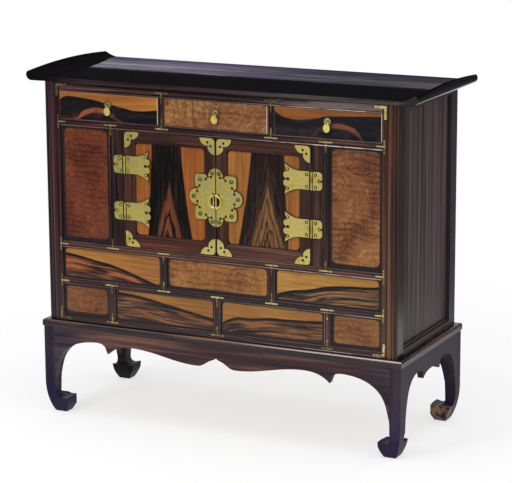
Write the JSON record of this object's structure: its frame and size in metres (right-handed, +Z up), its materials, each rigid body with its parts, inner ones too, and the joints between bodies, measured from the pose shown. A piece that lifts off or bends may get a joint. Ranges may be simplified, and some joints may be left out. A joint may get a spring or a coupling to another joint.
{
  "type": "chest",
  "caption": "Low wooden chest with small drawers over a pair of doors and rows of fixed panels, brass fittings, a top with turned-up ends, and a stand on curled legs.",
  "frame": {"origin": "on the floor, under the middle of the bounding box", "axes": "+X to the right seen from the front, -Y out of the front, +Z up"},
  "size_m": [0.8826, 0.342, 0.747],
  "materials": {
    "wood_stand": "dark purple-brown oiled wood, slightly worn",
    "wood_frame": "dark reddish-brown oiled wood",
    "wood_side": "grey-brown board with upright grain",
    "wood_top": "near-black polished wood",
    "wood_figured": "orange wood with black heartwood figure, polished",
    "wood_burl_red": "red-brown burl with a black border, polished",
    "wood_burl_amber": "amber burl with a black border, polished",
    "wood_door": "orange wood with a dark wedge of heartwood and a pale flame",
    "wood_inside": "plain unfinished pale wood",
    "wood_back": "plain dark board",
    "brass": "aged yellow-green brass with dark specks"
  },
  "bodies": {
    "carcass": {"stand_frame": "wood_stand", "leg_front_left": "wood_stand", "leg_front_right": "wood_stand", "leg_back_left": "wood_stand", "leg_back_right": "wood_stand", "apron_front": "wood_stand", "apron_back": "wood_stand", "apron_left": "wood_stand", "apron_right": "wood_stand", "post_front_left": "wood_frame", "post_front_right": "wood_frame", "post_back_left": "wood_frame", "post_back_right": "wood_frame", "rail_top": "wood_frame", "rail_drawer": "wood_frame", "rail_middle": "wood_frame", "rail_lower": "wood_frame", "rail_bottom": "wood_frame", "rails_side_left": "wood_frame", "rails_side_right": "wood_frame", "dividers": "wood_frame", "stiles_hinge": "wood_frame", "rails_back": "wood_back", "panel_back": "wood_back", "panel_side_left": "wood_side", "panel_side_right": "wood_side", "board_bottom": "wood_inside", "board_dust": "wood_inside", "drawer_guides": "wood_inside", "panel_burl_left": "wood_burl_red", "panel_burl_right": "wood_burl_red", "panels_figured": "wood_figured", "panels_burl": "wood_burl_amber", "top_board": "wood_top", "top_end_left": "wood_top", "top_end_right": "wood_top", "frame_brass": "brass", "hinge_leaves_fixed": "brass"},
    "door_left": {"door_frame_left": "wood_frame", "door_panel_left": "wood_door", "door_plates_left": "brass", "lock_plate_left": "brass"},
    "ring_left": {"lock_ring_left": "brass"},
    "door_right": {"door_frame_right": "wood_frame", "door_panel_right": "wood_door", "door_plates_right": "brass", "lock_plate_right": "brass"},
    "ring_right": {"lock_ring_right": "brass"},
    "drawer_left": {"drawer_front_left": "wood_figured", "drawer_box_left": "wood_inside", "pull_rosette_left": "brass"},
    "drop_left": {"pull_drop_left": "brass"},
    "drawer_centre": {"drawer_front_centre": "wood_burl_amber", "drawer_box_centre": "wood_inside", "pull_rosette_centre": "brass"},
    "drop_centre": {"pull_drop_centre": "brass"},
    "drawer_right": {"drawer_front_right": "wood_figured", "drawer_box_right": "wood_inside", "pull_rosette_right": "brass"},
    "drop_right": {"pull_drop_right": "brass"}
  },
  "joints": [
    {"name": "door_left_swing", "type": "hinge", "parent": "carcass", "child": "door_left", "pos_m": [-0.2125, -0.1634, 0.508], "axis": [0, 0, -1], "range_deg": [0, 165]},
    {"name": "ring_left_swing", "type": "hinge", "parent": "door_left", "child": "ring_left", "pos_m": [-0.0062, -0.1665, 0.5082], "axis": [-1, 0, 0], "range_deg": [0, 75]},
    {"name": "door_right_swing", "type": "hinge", "parent": "carcass", "child": "door_right", "pos_m": [0.2125, -0.1634, 0.508], "axis": [0, 0, 1], "range_deg": [0, 165]},
    {"name": "ring_right_swing", "type": "hinge", "parent": "door_right", "child": "ring_right", "pos_m": [0.0062, -0.1665, 0.5082], "axis": [-1, 0, 0], "range_deg": [0, 75]},
    {"name": "drawer_left_slide", "type": "slide", "parent": "carcass", "child": "drawer_left", "axis": [0, -1, 0], "range_m": [0, 0.2]},
    {"name": "drop_left_swing", "type": "hinge", "parent": "drawer_left", "child": "drop_left", "pos_m": [-0.24833, -0.1655, 0.679], "axis": [-1, 0, 0], "range_deg": [0, 80]},
    {"name": "drawer_centre_slide", "type": "slide", "parent": "carcass", "child": "drawer_centre", "axis": [0, -1, 0], "range_m": [0, 0.2]},
    {"name": "drop_centre_swing", "type": "hinge", "parent": "drawer_centre", "child": "drop_centre", "pos_m": [0, -0.1655, 0.679], "axis": [-1, 0, 0], "range_deg": [0, 80]},
    {"name": "drawer_right_slide", "type": "slide", "parent": "carcass", "child": "drawer_right", "axis": [0, -1, 0], "range_m": [0, 0.2]},
    {"name": "drop_right_swing", "type": "hinge", "parent": "drawer_right", "child": "drop_right", "pos_m": [0.24833, -0.1655, 0.679], "axis": [-1, 0, 0], "range_deg": [0, 80]}
  ]
}
